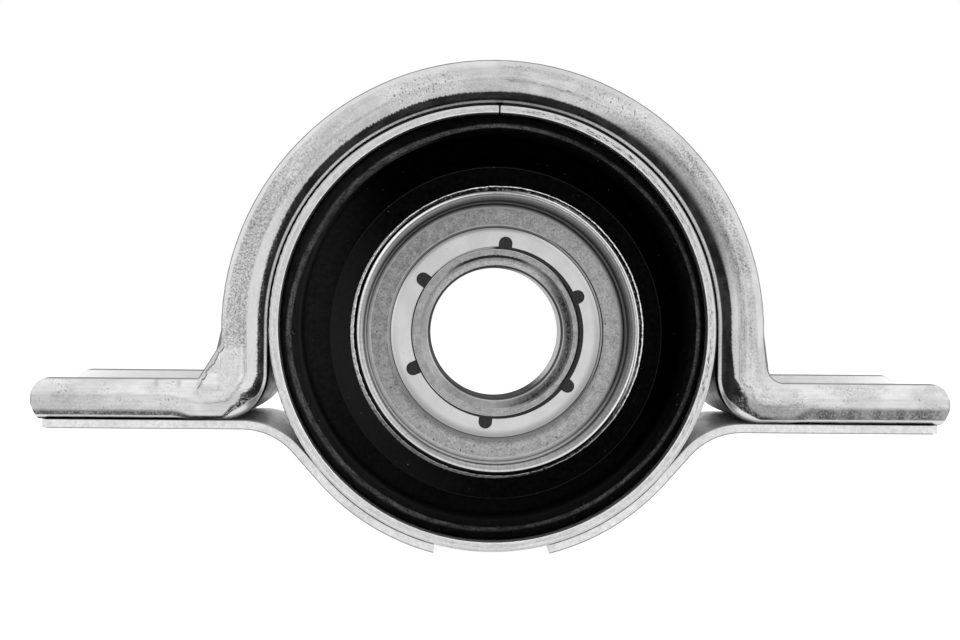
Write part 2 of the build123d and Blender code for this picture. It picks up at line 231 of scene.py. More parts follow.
def make_lamp(name, spot, wide, tall, power):
    """A square or oblong lamp that points at the object."""
    data = bpy.data.lights.new(name, "AREA")
    data.shape = "RECTANGLE"
    data.size = wide
    data.size_y = tall
    data.energy = power
    lamp = bpy.data.objects.new(name, data)
    bpy.context.scene.collection.objects.link(lamp)
    lamp.location = spot
    lamp.rotation_euler = lamp.location.to_track_quat("Z", "Y").to_euler()


# A number that varies over a surface, held as the output of a shader node
class Value:
    def __init__(self, tree, socket):
        self.tree = tree
        self.socket = socket

    def put(self, socket, value):
        if isinstance(value, Value):
            self.tree.links.new(value.socket, socket)
        else:
            socket.default_value = value

    def math(self, operation, *others):
        node = self.tree.nodes.new("ShaderNodeMath")
        node.operation = operation
        for socket, value in zip(node.inputs, (self,) + others):
            self.put(socket, value)
        return Value(self.tree, node.outputs[0])

    def __add__(self, other):
        return self.math("ADD", other)

    def __radd__(self, other):
        return self.math("ADD", other)

    def __sub__(self, other):
        return self.math("SUBTRACT", other)

    def __rsub__(self, other):
        return self.math("MULTIPLY", -1.0).math("ADD", other)

    def __mul__(self, other):
        return self.math("MULTIPLY", other)

    def __rmul__(self, other):
        return self.math("MULTIPLY", other)

    def size(self):
        return self.math("ABSOLUTE")

    def over(self, other):
        return self.math("MAXIMUM", other)

    def under(self, other):
        return self.math("MINIMUM", other)

    def smooth(self, low, high, to_low=0.0, to_high=1.0):
        """A smooth change from one value to another as this one goes from low to high."""
        node = self.tree.nodes.new("ShaderNodeMapRange")
        node.interpolation_type = "SMOOTHSTEP"
        for socket, number in zip(node.inputs, (self, low, high, to_low, to_high)):
            self.put(socket, number)
        return Value(self.tree, node.outputs[0])

    def past(self, edge, soft=0.05):
        """0 below the edge and 1 above it, with a soft step."""
        return self.smooth(edge - soft, edge + soft)

    def short_of(self, edge, soft=0.05):
        """1 below the edge and 0 above it, with a soft step."""
        return self.smooth(edge - soft, edge + soft, 1.0, 0.0)

    def inside(self, low, high, soft):
        """1 between low and high and 0 outside, with soft edges."""
        return self.smooth(low - soft, low + soft) * self.smooth(high - soft, high + soft, 1.0, 0.0)

    def toward(self, other, share):
        """This value where share is 0 and the other where it is 1."""
        node = self.tree.nodes.new("ShaderNodeMix")
        node.data_type = "FLOAT"
        self.put(node.inputs[0], share)
        self.put(node.inputs[2], self)
        self.put(node.inputs[3], other)
        return Value(self.tree, node.outputs[0])


# A material, with short calls that add nodes to its tree
class Paint:
    def __init__(self, name):
        self.material = bpy.data.materials.new(name)
        self.material.use_nodes = True
        self.tree = self.material.node_tree
        self.bsdf = self.tree.nodes["Principled BSDF"]
        place = self.tree.nodes.new("ShaderNodeTexCoord")
        millimetres = self.tree.nodes.new("ShaderNodeVectorMath")
        millimetres.operation = "SCALE"
        millimetres.inputs["Scale"].default_value = 1 / MM
        self.tree.links.new(place.outputs["Object"], millimetres.inputs[0])
        self.place = millimetres.outputs[0]
        self.x, self.y, self.z = self.split(self.place)

    def split(self, vector):
        node = self.tree.nodes.new("ShaderNodeSeparateXYZ")
        self.tree.links.new(vector, node.inputs[0])
        return [Value(self.tree, socket) for socket in node.outputs]

    def spot(self, x, y, z):
        """Texture coordinates from three values."""
        node = self.tree.nodes.new("ShaderNodeCombineXYZ")
        for socket, value in zip(node.inputs, (x, y, z)):
            self.x.put(socket, value)
        return node.outputs[0]

    def along(self, x, z):
        """Millimetres from the shaft's axis along a direction in the front view."""
        return self.x * x + self.z * z

    def polar(self, axis):
        """Radius in millimetres and angle in degrees about an axis along Y."""
        x = self.x - axis[0]
        z = self.z - axis[1]
        return (x * x + z * z).math("SQRT"), z.math("ARCTAN2", x).math("DEGREES")

    def noise(self, scale, detail=4.0, rough=0.5, where=None, warp=0.0):
        """Cloudy noise between about 0.25 and 0.75, with about scale lumps for each millimetre."""
        node = self.tree.nodes.new("ShaderNodeTexNoise")
        node.inputs["Scale"].default_value = scale
        node.inputs["Detail"].default_value = detail
        node.inputs["Roughness"].default_value = rough
        node.inputs["Distortion"].default_value = warp
        self.tree.links.new(self.spot(*where) if where else self.place, node.inputs["Vector"])
        return Value(self.tree, node.outputs[0])

    def finish(self, tone, rough, metallic, height=None, bump=0.3, deep=0.1):
        """Joins a grey tone, a roughness and a height in millimetres to the shader."""
        node = self.tree.nodes.new("ShaderNodeCombineColor")
        for socket in node.inputs[:3]:
            self.tree.links.new(tone.socket, socket)
        self.tree.links.new(node.outputs[0], self.bsdf.inputs["Base Color"])
        tone.put(self.bsdf.inputs["Roughness"], rough)
        tone.put(self.bsdf.inputs["Metallic"], metallic)
        if height:
            relief = self.tree.nodes.new("ShaderNodeBump")
            relief.inputs["Strength"].default_value = bump
            relief.inputs["Distance"].default_value = deep * MM
            self.tree.links.new(height.socket, relief.inputs["Height"])
            self.tree.links.new(relief.outputs[0], self.bsdf.inputs["Normal"])
        return self.material


# Places on the strap, worked out from its path over the ring and out along the feet
class StrapPlace:
    """Heights and sides count from the ring's axis, and rise from the sheet's face on the ring."""

    def __init__(self, p):
        x = p.x - RING_X
        self.up = p.z - RING_Z
        self.side = x.size()
        self.on_right = x.past(0.0, 0.1)
        self.on_left = 1.0 - self.on_right
        self.on_arch = self.up.past(0.0)
        self.below = self.up.smooth(-7.0, 5.0, 1.0, 0.0)
        radius = (x * x + self.up * self.up).math("SQRT")
        self.angle = self.up.math("ARCTAN2", x).math("DEGREES")
        self.around = self.angle.size()
        self.right_side = self.on_right * self.around.short_of(48.0, 16.0) * self.up.past(-10.5, 3.5)
        bend_x = STRAP_IN + STRAP_FOOT_BEND
        bend_z = STRAP_FOOT_BEND - STRAP_FOOT_DROP
        inboard = (bend_x - self.side).over(0.0)
        below = (bend_z - self.up).over(0.0)
        from_bend = (inboard * inboard + below * below).math("SQRT")
        self.rise = (STRAP_FOOT_BEND - from_bend).toward(radius - STRAP_IN, self.on_arch)
        quarter = math.pi / 2
        round_arch = quarter - self.up.over(0.0).math("ARCTAN2", self.side)
        round_foot = below.math("ARCTAN2", inboard + 0.01)
        self.foot_turn = round_foot * (1 / quarter)
        self.along_foot = (self.side - bend_x).over(0.0)
        down_leg = (self.up * -1.0).over(0.0).under(-bend_z)
        self.run = round_arch * STRAP_IN + down_leg + round_foot * STRAP_FOOT_BEND + self.along_foot
        self.signed_run = self.run * (self.on_right * 2.0 - 1.0)
        self.on_foot = self.along_foot.smooth(0.0, 8.0)
        self.slant = self.from_slant()
        self.edge = self.from_free_edge()

    def from_slant(self):
        """Distance from the straight cut across the left corner, larger towards the ring."""
        slant = math.hypot(LEFT_CORNER_WIDE, LEFT_CORNER_TALL)
        past_x = (self.side - FLANGE_SIDE - FLANGE_FLARE) * (LEFT_CORNER_TALL / slant)
        past_z = (self.up - FLANGE_FOOT_TOP - LEFT_CORNER_TALL) * (LEFT_CORNER_WIDE / slant)
        return (past_x + past_z) * -1.0

    def from_free_edge(self):
        """Distance in from the flange's free edge, with the right corner round and the left one cut."""
        arch_z = FLANGE_TOP - FLANGE_SIDE
        up = (self.up - arch_z).over(0.0)
        flare = self.up.smooth(FLANGE_FOOT_TOP, arch_z, FLANGE_FLARE, 0.0)
        from_arch = FLANGE_SIDE - (self.side * self.side + up * up).math("SQRT") + flare
        from_foot_top = (FLANGE_FOOT_TOP - self.up).under(STRAP_END - self.side)
        across = (from_arch + RIGHT_CORNER).over(0.0)
        down = (from_foot_top + RIGHT_CORNER).over(0.0)
        round_corner = (across * across + down * down).math("SQRT") - RIGHT_CORNER
        cut_corner = from_arch.over(from_foot_top).over(self.slant.toward(FAR_INSIDE, self.on_arch))
        return cut_corner.toward(round_corner, self.on_right)


def strap_sheet(p, at, blotch):
    """Tone of the plain sheet, a little darker beside the bend except on the left leg."""
    cloud = p.noise(0.07, 3.0, where=(at.signed_run, at.rise * 2.5, p.y * 0.3))
    drawn = p.noise(1.0, 4.0, 0.6, where=(at.signed_run * 0.07, at.rise * 1.3, p.y * 0.6))
    tone = drawn.smooth(0.34, 0.64, 0.59, 0.67) * cloud.smooth(0.35, 0.65, 0.9, 1.07)
    tone = tone * blotch.smooth(0.32, 0.68, 0.94, 1.05)
    inner_dim = at.rise.smooth(2.6, 5.4, 0.84, 1.0)
    return tone * inner_dim.toward(1.0, at.on_left * at.around.smooth(145.0, 165.0))


def strap_grain(p, at, border):
    """Shares of peeled plating: on the left outside a border line, and everywhere."""
    grain_from = at.around.smooth(125.0, 165.0, 3.0, 4.75)
    left = at.on_left * at.around.smooth(102.0, 160.0) * at.up.past(-5.0, 0.9)
    left = left * (border - grain_from).past(0.0, 0.4)
    left = left * (1.0 - at.edge.short_of(0.9, 0.25) * at.around.short_of(168.0, 8.0))
    patchy = p.noise(0.1, 2.0, 0.5, where=(at.signed_run, at.rise * 1.6, p.y))
    patchy = patchy.smooth(0.42, 0.56, 0.45, 1.0)
    right = border.past(6.7, 0.35) * at.edge.past(1.4, 0.35) * at.right_side * patchy
    return left, left.over(right).over(patchy.smooth(0.6, 1.0) * 0.35)


def strap_right(p, at, tone, border, peel):
    """A streaky dark stripe low on the right, and a zone above it that fades towards the bend."""
    streaky = p.noise(1.0, 3.0, 0.7, where=(at.signed_run * 0.25, at.rise * 2.4, p.y * 0.5))
    stripe = border.inside(4.9, 6.4, 0.5) * at.right_side * streaky.smooth(0.36, 0.6, 0.35, 1.0)
    tone = tone * (1.0 - stripe * peel.smooth(0.3, 0.6, 0.62, 0.35))
    tone = tone * (1.0 - at.right_side * 0.1)
    fading = at.on_right * at.around.inside(15.0, 58.0, 11.0)
    faded = at.rise.smooth(2.6, 7.5, 0.42, 1.0) * peel.smooth(0.34, 0.62, 0.8, 1.12)
    return tone * faded.toward(1.0, 1.0 - fading)


def strap_pits(p, at, tone, left_grain):
    """Dark pits and bright specks on both sides of the crown, in some patches and in the left grain."""
    near_crown = at.angle.inside(98.0, 116.0, 3.0) * at.rise.inside(3.6, 8.0, 1.0)
    right_of_crown = at.angle.inside(50.0, 74.0, 4.0) * at.rise.inside(3.0, 8.6, 1.0)
    elsewhere = p.noise(0.16, 2.0, 0.5, where=(at.signed_run, at.rise, p.y + 31.0)).smooth(0.57, 0.64)
    wear_and_reflection = near_crown.over(right_of_crown * 0.8).over(elsewhere * 0.7).over(left_grain * 0.35)
    pits = p.noise(1.9, 3.0, 0.7, warp=0.6).smooth(0.56, 0.63) * wear_and_reflection
    shine = p.noise(2.3, 2.0, 0.6, where=(p.x + 7.0, p.y, p.z)).smooth(0.58, 0.66) * wear_and_reflection
    tone = tone.toward(0.8, shine * 0.8)
    return tone.toward(0.09, pits * 0.9), pits


def strap_draw_line(p, at, tone):
    """The dashed line that the pressing left, which cuts the corner of each foot bend."""
    slow = p.noise(0.06, 2.0, 0.5, where=(at.signed_run, 22.0, 0.0))
    dip = at.along_foot.inside(-1.0, 9.0, 5.0) * at.foot_turn.past(0.6, 0.3)
    line_rise = 5.0 + (slow - 0.5) * 1.2 - dip * 1.3 + at.on_foot * 0.5
    line_rise = line_rise + at.foot_turn.inside(0.25, 0.75, 0.25) * (at.on_right + 0.8)
    off_line = (at.rise - line_rise).size()
    dashed = p.noise(1.0, 3.0, 0.7, where=(at.signed_run * 0.5, at.rise * 5.0, p.y * 0.5))
    crown = at.angle.inside(66.0, 88.0, 4.0)
    strength = slow.smooth(0.46, 0.6, 0.2, 0.7).over(crown).over(at.below * 0.8) * (1.0 - at.on_foot)
    tone = tone.toward(0.14, off_line.short_of(0.45, 0.3) * dashed.smooth(0.5, 0.6) * strength * 0.8)
    tone = tone * (1.0 - off_line.short_of(0.3, 0.3) * strength.over(at.on_foot * 0.5) * 0.2)
    in_bend = at.foot_turn.smooth(0.15, 0.6) * at.along_foot.short_of(9.0, 6.0)
    below_line = (at.rise - line_rise).short_of(0.0, 0.2)
    return tone * (1.0 - in_bend.over(at.on_foot * at.on_left) * below_line * 0.15)


def strap_smooth_strip(at, tone, peel):
    """The light smooth strip beside the black band of the bend, down both legs."""
    strip = at.rise.inside(2.7, 4.6, 0.25) * at.around.smooth(0.0, 150.0, at.below, 1.0)
    strip = strip * (1.0 - at.foot_turn.smooth(0.1, 0.5))
    strip = strip * at.around.short_of(30.0, 15.0).over(at.on_left)
    light = peel.smooth(0.3, 0.7, 0.56, 0.62) - at.on_right * 0.1
    return tone.toward(light, strip * at.around.smooth(142.0, 165.0).over(at.on_right) * 0.75)


def strap_scratches(p, at, tone):
    """Patches of fine scratches along the strap, and painted light that lifts the inside of its channel
    out of its shade.
    """
    scratch = p.noise(1.0, 2.0, 0.7, where=(at.signed_run * 0.12, at.rise * 5.0, p.y * 2.0), warp=0.3)
    scratched = p.noise(0.1, 2.0, 0.5, where=(p.x, p.y + 60.0, p.z)).smooth(0.5, 0.6)
    tone = tone.toward(0.25, scratch.smooth(0.64, 0.7) * scratched * 0.6)
    # Painted light on the inside faces of the channel, against the shade of the flanges.
    inside_channel = p.y.size().short_of(18.3, 0.1) * at.rise.past(2.6, 0.5)
    return tone.toward(0.92, inside_channel * 0.9)


def strap_face(p, at):
    """Tone and height of the flanges and the web: smooth beside the bend, grainy grey outside it."""
    blotch = p.noise(0.3, 4.0, 0.6, where=(at.signed_run, at.rise * 1.6, p.y))
    peel = p.noise(2.3, 3.0, 0.6, warp=0.7)
    border = at.rise + (blotch - 0.5) * 0.9
    left_grain, grainy = strap_grain(p, at, border)
    tone = strap_sheet(p, at, blotch)
    tone = tone * peel.smooth(0.34, 0.62, 0.36, 0.9).toward(1.0, 1.0 - grainy)
    tone = strap_right(p, at, tone, border, peel)
    tone, pits = strap_pits(p, at, tone, left_grain)
    tone = strap_draw_line(p, at, tone)
    tone = strap_smooth_strip(at, tone, peel)
    tone = strap_scratches(p, at, tone)
    return tone, peel * grainy.smooth(0.0, 1.0, 0.4, 1.0) - pits * 1.2


def strap_edge(p, at, tone):
    """The sheared free edge: a painted highlight along its rim, a thin dark border, and marks at the left
    corner and foot.
    """
    wobble = p.noise(0.35, 3.0, 0.6, where=(at.signed_run, p.y * 0.1, 3.0)).smooth(0.3, 0.7, -0.14, 0.14)
    rim = at.edge + wobble
    # Painted highlight along the rim of the free edge: none low on the left leg, weaker low elsewhere and
    # on the right near the horizontal.
    light_rim = rim.inside(0.15, 1.1, 0.25) * (1.0 - at.below * at.on_left) * (1.0 - at.below * 0.6)
    tone = tone.toward(at.on_left * 0.08 + 0.63, light_rim * at.around.smooth(5.0, 30.0, 0.2, 0.6))
    from_cut = at.slant - 0.95 + wobble * 2.5
    cut_side = from_cut.short_of(0.0, 0.06) * at.on_left
    tone = tone.toward(0.46, cut_side * at.up.inside(FLANGE_FOOT_TOP, FLANGE_FOOT_TOP + 8.0, 0.5) * 0.8)
    slit = from_cut.size().short_of(0.12, 0.1) * at.on_left
    tone = tone.toward(0.13, slit * at.up.inside(FLANGE_FOOT_TOP - 2.4, FLANGE_FOOT_TOP + 7.0, 0.5))
    for smudge_x in SMUDGES_X:
        across = (at.side - smudge_x + wobble * 3.0).size().short_of(0.5, 0.45)
        tall = (FLANGE_FOOT_TOP - at.up + wobble * 2.0).inside(0.4, 2.0, 0.6)
        tone = tone.toward(0.3, across * tall * at.on_left * p.y.short_of(0.0) * 0.45)
    outermost = at.edge.short_of(0.2, 0.06)
    return tone.toward(0.16, outermost * 0.9)


# The outside of the strap's bend, from the ring outwards: painted shade in a dark gap, a painted highlight
# in a light line, and painted shade and dark reflection in a black band
class StrapBend:
    def __init__(self, p, at):
        self.p = p
        self.at = at
        self.at_sides = 1.0 - at.around.inside(64.0, 116.0, 16.0)
        self.widened = at.foot_turn.smooth(0.2, 0.7) * at.along_foot.short_of(6.0, 5.0)
        self.bend_end = at.foot_turn.smooth(0.8, 1.0)
        self.on_foot = at.along_foot.smooth(3.0, 9.0)
        self.settled = at.along_foot.smooth(6.0, 11.0)
        self.outside = p.y.size().past(RING_HALF_WIDE - STRAP_BEND_OUTSIDE + 0.1, 0.15)
        self.comb = p.noise(1.0, 2.0, 0.5, where=(at.signed_run * 2.8, at.rise * 0.3, p.y * 0.3))
        self.specks = p.noise(1.8, 3.0, 0.65, where=(p.x, p.y + 15.0, p.z))
        self.past_gap = at.rise - self.gap_top()
        self.line_high = self.line_top()
        self.past_line = at.rise - self.line_high
        self.past_band = at.rise - self.band_top()

    def gap_top(self):
        """Height of the dark gap beside the ring."""
        high = self.at_sides * 0.16 - self.widened * 0.36 + 0.24
        return high.toward(self.at.on_right * -0.4 + 0.52, self.at.along_foot.smooth(7.0, 12.0))

    def line_top(self):
        """Height that the light line reaches, most of it in the foot bends."""
        at = self.at
        corner = at.foot_turn.inside(0.42, 0.86, 0.14) * (0.85 - at.on_right * 0.2)
        high = self.at_sides * (at.on_right * 0.1 + 0.25) + corner + 0.6 - self.bend_end * at.on_left * 0.5
        return high.toward(at.on_right * 0.15 + 0.95, self.settled)

    def band_top(self):
        """Height that the black band reaches: combed left of the crown, ragged in the foot bends."""
        p, at, specks = self.p, self.at, self.specks
        slow = p.noise(0.05, 2.0, 0.5, where=(at.signed_run, 9.0, p.y * 0.05))
        comb_deep = at.around.inside(100.0, 128.0, 8.0) * 0.8 + 0.2
        high = at.around.smooth(15.0, 75.0, 3.05, 2.45) - at.on_left * at.around.smooth(140.0, 176.0) * 0.2
        high = high + (slow - 0.5) * 0.7 + (self.comb - 0.5) * comb_deep + (specks - 0.5) * 0.6
        high = high + at.foot_turn.smooth(-0.05, 0.2) * (at.on_right * 0.4 + 0.45)
        high = high + at.up.smooth(-11.5, -3.0, 0.8, 0.0) * at.on_right
        high = high + at.foot_turn.inside(0.36, 0.62, 0.14) * at.on_left
        high = high + (specks - 0.5) * at.foot_turn.inside(0.3, 0.95, 0.1) * 1.8
        high = high.toward(self.line_high + 1.15, (at.foot_turn + at.on_right * 0.1).smooth(0.6, 0.86))
        high = high.toward(self.line_high + 0.65, self.bend_end)
        on_foot = at.on_right * 1.45 + 2.1 + (specks - 0.5) * 1.2
        return high.toward(on_foot, self.settled)

    def black(self):
        """Share of black in the band, with specks on the left leg and in the foot bends."""
        p, at, specks = self.p, self.at, self.specks
        soft = at.on_right * at.around.inside(18.0, 58.0, 10.0) * 0.7 + self.on_foot * 0.3 + 0.25
        black = self.past_band.smooth(soft * -0.7, soft, 1.0, 0.0) * self.past_line.past(0.1, 0.12)
        rough_side = at.around.smooth(138.0, 160.0).over(at.foot_turn.inside(0.1, 0.8, 0.1))
        fine_specks = p.noise(3.0, 3.0, 0.7, where=(p.x + 4.0, p.y, p.z)).smooth(0.5, 0.64)
        holes = fine_specks * self.past_band.past(-0.45, 0.4) * rough_side * 0.4
        holes = holes.over(specks.smooth(0.47, 0.6) * at.foot_turn.inside(0.45, 0.95, 0.1) * 0.55)
        patches = p.noise(0.14, 2.0, 0.5, where=(at.signed_run, 50.0, 0.0)).smooth(0.4, 0.56, 0.3, 0.92)
        on_foot = black * patches.toward(0.95, at.on_left) * specks.smooth(0.42, 0.6, 1.0, 0.62)
        faint = 1.0 - at.along_foot.inside(2.0, 7.5, 1.5) * at.on_right * 0.6
        return (black * (1.0 - holes) * faint).toward(on_foot, self.settled)

    def over_tone(self, tone):
        """The tone with band, line and gap laid over it, and how metallic that is."""
        p, at = self.p, self.at
        # Painted shade and dark reflection fill the black band.
        murk = p.noise(0.5, 3.0, 0.6, where=(at.signed_run * 0.5, at.rise, p.y + 3.0))
        depth = murk.smooth(0.35, 0.65, 0.012, 0.028) * self.comb.smooth(0.3, 0.7, 0.85, 1.15)
        tone = tone.toward(depth.toward(0.05, self.on_foot), self.black() * self.outside)

        # Painted highlight along the light line.
        line = self.past_gap.past(0.0, 0.08) * self.past_line.short_of(0.0, 0.1) * self.outside
        plain = self.on_foot.over(self.widened)
        bright = self.comb.smooth(0.3, 0.7, 0.9, 1.1) * (self.at_sides * 0.3 + 0.6)
        murky = at.foot_turn.inside(0.22, 0.56, 0.08) * at.rise.past(0.5, 0.25)
        bright = bright.toward(0.62, plain).toward(murk.smooth(0.35, 0.65, 0.05, 0.24), murky * 0.85)
        tone = tone.toward(bright, line)
        # Painted shade in the gap beside the ring.
        tone = tone.toward(GAP_TONE, self.past_gap.short_of(0.0, 0.06) * p.y.size().past(15.5, 1.5))
        return tone, 1.0 - line * (1.0 - plain)


# Plated pressed sheet of the strap
def strap_paint():
    p = Paint("strap_plated")
    at = StrapPlace(p)
    tone, height = strap_face(p, at)
    tone = strap_edge(p, at, tone)
    tone, metallic = StrapBend(p, at).over_tone(tone)
    # Painted shade, mottled, on the strap's underside that faces the ring.
    toward_ring = at.rise.short_of(0.12, 0.06) * p.y.size().short_of(16.5, 1.0)
    underside_shade = p.noise(0.5, 5.0, 0.65).smooth(0.4, 0.64, 0.03, 0.34)
    tone = tone.toward(underside_shade, toward_ring)
    dull = p.noise(0.4, 4.0, 0.6).smooth(0.3, 0.7, 0.5, 0.36)
    return p.finish(tone, dull, metallic, height, 0.3, 0.1)


def lower_depth(p):
    """Depth into a lower bracket's sheet, counted from the face turned to the strap and the ring."""
    side = (p.x - RING_X).size()
    up = p.z - RING_Z
    across, along = math.cos(LOWER_ON_RING), math.sin(LOWER_ON_RING)
    centre_z = -STRAP_FOOT_DROP - LOWER_SHEET - LOWER_BEND
    bend_x = (STRAP_IN + LOWER_SHEET + LOWER_BEND + centre_z * along) / across
    out = side - bend_x
    above = up - centre_z
    from_bend = (out * out + above * above).math("SQRT")
    up_arm = out * along + above * across
    up_ring = side * along + up * across
    foot = up * -1.0 - STRAP_FOOT_DROP
    bend = LOWER_BEND + LOWER_SHEET - from_bend
    arm = side * across - up * along - STRAP_IN
    wrap = (side * side + up * up).math("SQRT") - STRAP_IN
    depth = foot.toward(bend, out.short_of(0.0, 0.02))
    depth = depth.toward(arm, up_arm.short_of(0.0, 0.02))
    return depth.toward(wrap, up_ring.short_of(0.0, 0.02))


# Plated strip of the lower brackets: light edge with a thin dark border, painted shade where it meets the
# ring and in the crevices under the strap's feet
def lower_paint():
    p = Paint("lower_plated")
    x = p.x - RING_X
    up = p.z - RING_Z
    depth = lower_depth(p)
    cloud = p.noise(0.1, 3.0)
    mottle = p.noise(0.8, 5.0, 0.62)
    grit = p.noise(3.0, 3.0, 0.6)
    tone = mottle.smooth(0.3, 0.7, 0.58, 0.7) * cloud.smooth(0.35, 0.65, 0.92, 1.05)
    tone = tone * grit.smooth(0.3, 0.6, 0.9, 1.03)
    on_edge = p.y.size().past(LOWER_HALF_WIDE - 0.05, 0.03)
    flecks = p.noise(1.0, 3.0, 0.65, where=(p.x * 1.2, p.y, p.z * 2.6)).smooth(0.6, 0.68)
    tone = tone.toward(0.3, flecks * on_edge * 0.5)
    pits = p.noise(2.4, 2.0, 0.6).smooth(0.67, 0.73)
    tone = tone.toward(0.2, pits * 0.6)
    tone = tone.toward(0.2, depth.past(LOWER_SHEET - 0.24, 0.06) * on_edge * 0.85)
    on_wrap = up.short_of(LOWER_WRAP_TOP, 0.5)
    # Painted shade on the face that lies against the ring, and in a thin band along the top of the front
    # and back edges.
    tone = tone.toward(0.01, depth.short_of(0.16, 0.08) * on_wrap)
    tone = tone.toward(0.06, depth.short_of(0.1, 0.05) * on_edge * (1.0 - on_wrap) * 0.7)
    upper_face = depth.short_of(0.04, 0.02) * (1.0 - on_edge)
    shaded = p.y.smooth(-19.0, -4.0, 0.5, 0.95)
    shaded = shaded * mottle.smooth(0.3, 0.7, 0.9, 1.06)
    tone = tone.toward(shaded, upper_face * x.size().short_of(LOWER_FOOT_X, 4.0))
    # Painted shade in the crevice under the rounded edges of the strap's feet.
    under_foot = upper_face * x.size().past(LOWER_FOOT_X + 0.5, 1.5) * p.y.size().past(15.7, 0.7)
    tone = tone.toward(0.008, under_foot)
    dull = upper_face * x.size().short_of(LOWER_FOOT_X - 2.0, 3.0) * 0.75
    return p.finish(tone, mottle.smooth(0.3, 0.7, 0.46, 0.34), 1.0 - dull, mottle + grit * 0.4, 0.25, 0.08)


# Rolled strip of the ring: smooth outer part of the edge, hatched inner part, and painted shade on the
# outer corner under the strap and the lower brackets
def ring_paint():
    p = Paint("ring_strip")
    radius, angle = p.polar(RING_AXIS)
    length = angle * math.radians(RING_OUT)
    mottle = p.noise(1.1, 5.0, 0.65)
    grit = p.noise(3.0, 3.0, 0.6)
    streak = p.noise(1.0, 4.0, 0.6, where=(radius * 2.2, length * 0.14, p.y * 0.5))
    tone = mottle.smooth(0.3, 0.7, 0.58, 0.68) * streak.smooth(0.3, 0.65, 0.88, 1.06)
    tone = tone * grit.smooth(0.3, 0.6, 0.92, 1.03)
    front = p.y.size().past(RING_HALF_WIDE - 0.4, 0.1)
    slow = p.noise(0.03, 2.0, 0.5, where=(length, 5.0, 0.0))
    from_right = (angle - 30.0).size().smooth(40.0, 75.0, 1.0, 0.22)
    inner_zone = radius.inside(RING_IN + 0.3, RING_IN + 1.2, 0.16)
    hatch = p.noise(1.0, 3.0, 0.7, where=(radius * 3.6, length * 0.55, 0.0), warp=0.4)
    cut = hatch.smooth(0.49, 0.58) * inner_zone * front * slow.smooth(0.36, 0.5, 0.4, 1.0) * from_right
    tone = tone * (1.0 - inner_zone * front * 0.1)
    tone = tone.toward(0.05, cut * 0.9)
    fine_cut = p.noise(2.0, 3.0, 0.7).smooth(0.58, 0.64) * inner_zone * front
    tone = tone.toward(0.25, fine_cut * 0.5)

    # Painted shade on the outer corner where the strap and the lower brackets cover the ring, widest at
    # the top.
    under_strap = angle.inside(-14.0, 194.0, 2.0)
    in_lower = (angle + 90.0).size().inside(15.5, 47.0, 1.5)
    covered = under_strap.over(in_lower)
    outer_part = radius.past(RING_OUT - 0.6, 0.25) * front
    tone = tone * (1.0 - outer_part * 0.2)
    corner_wide = angle.inside(68.0, 112.0, 20.0) * 0.22 + angle.inside(-10.0, 130.0, 12.0) * 0.2 + 0.13
    corner = (radius + corner_wide).past(RING_OUT, 0.05) * p.y.size().past(RING_HALF_WIDE - 0.5, 0.2)
    tone = tone.toward(0.01, corner * covered)
    from_joint = (p.x - RING_JOINT_X).size()
    cut_back = (RING_JOINT_MOUTH - from_joint) - (RING_OUT - radius)
    at_top = p.z.past(0.0)
    joint_walls = from_joint.short_of(RING_JOINT_HALF, 0.01)
    mouth_walls = cut_back.size().short_of(0.06, 0.02) * from_joint.short_of(RING_JOINT_MOUTH + 0.04, 0.02)
    tone = tone.toward(GAP_TONE, joint_walls.over(mouth_walls) * at_top)
    return p.finish(tone, mottle.smooth(0.3, 0.7, 0.42, 0.32), 1.0, mottle - cut, 0.3, 0.08)


